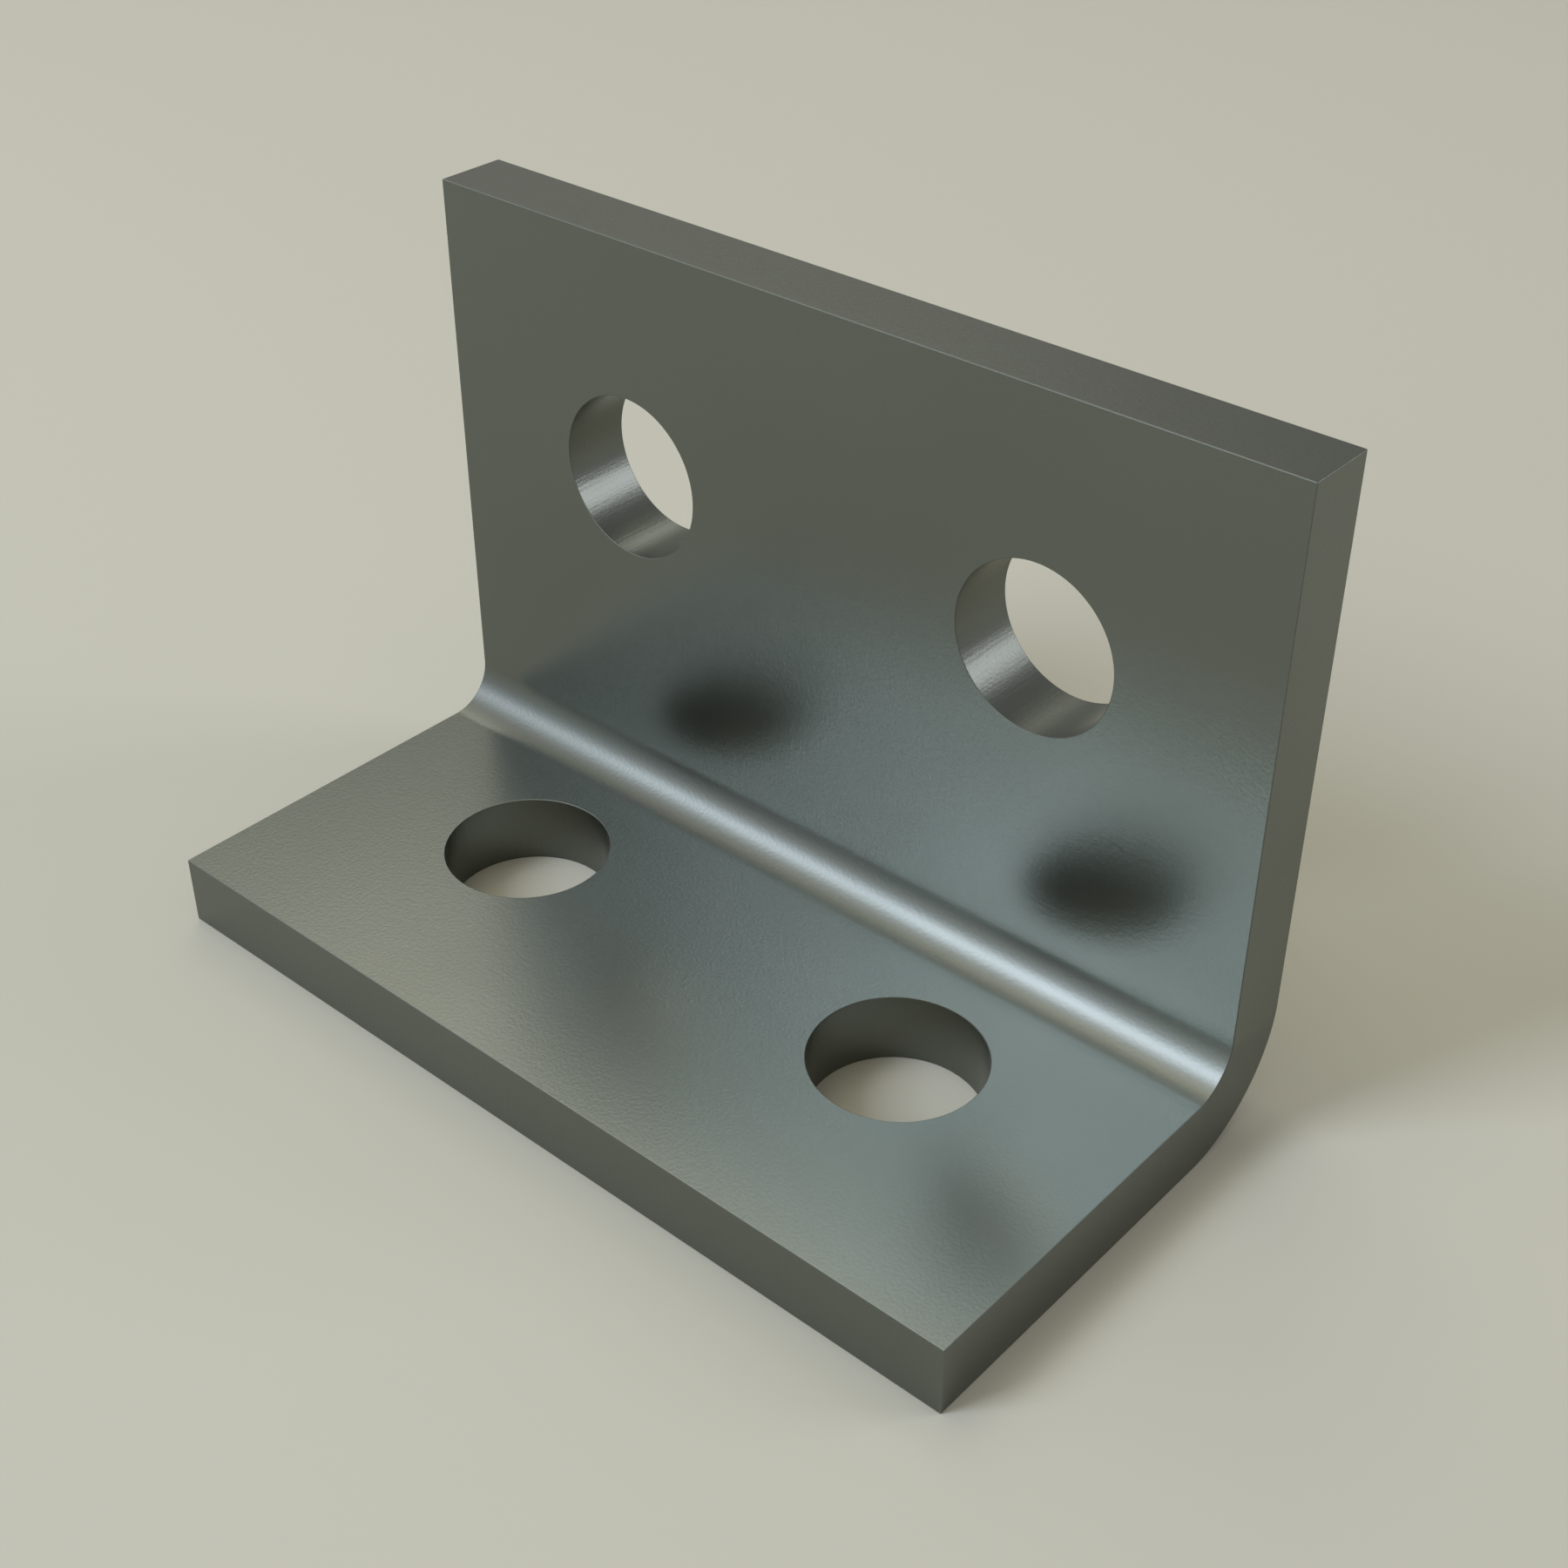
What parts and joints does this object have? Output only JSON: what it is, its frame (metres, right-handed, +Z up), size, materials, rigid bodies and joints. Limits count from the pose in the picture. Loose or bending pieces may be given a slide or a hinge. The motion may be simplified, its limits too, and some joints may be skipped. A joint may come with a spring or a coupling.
{
  "type": "strut angle fitting",
  "caption": "Right-angle fitting folded from thick steel plate, with bolt holes in both legs, for joining strut channels or fixing them to a wall, beam or floor.",
  "frame": {"origin": "on the underside of the foot, midway between its two bolt holes", "axes": "+X along the fold, +Y from the foot's free edge towards the upright, +Z up the upright"},
  "size_m": [0.0826, 0.0412, 0.0571],
  "materials": {
    "satin_steel": "plain satin steel, dull and slightly olive grey, with no grain direction"
  },
  "bodies": {
    "root": {"angle_plate": "satin_steel"}
  },
  "joints": []
}
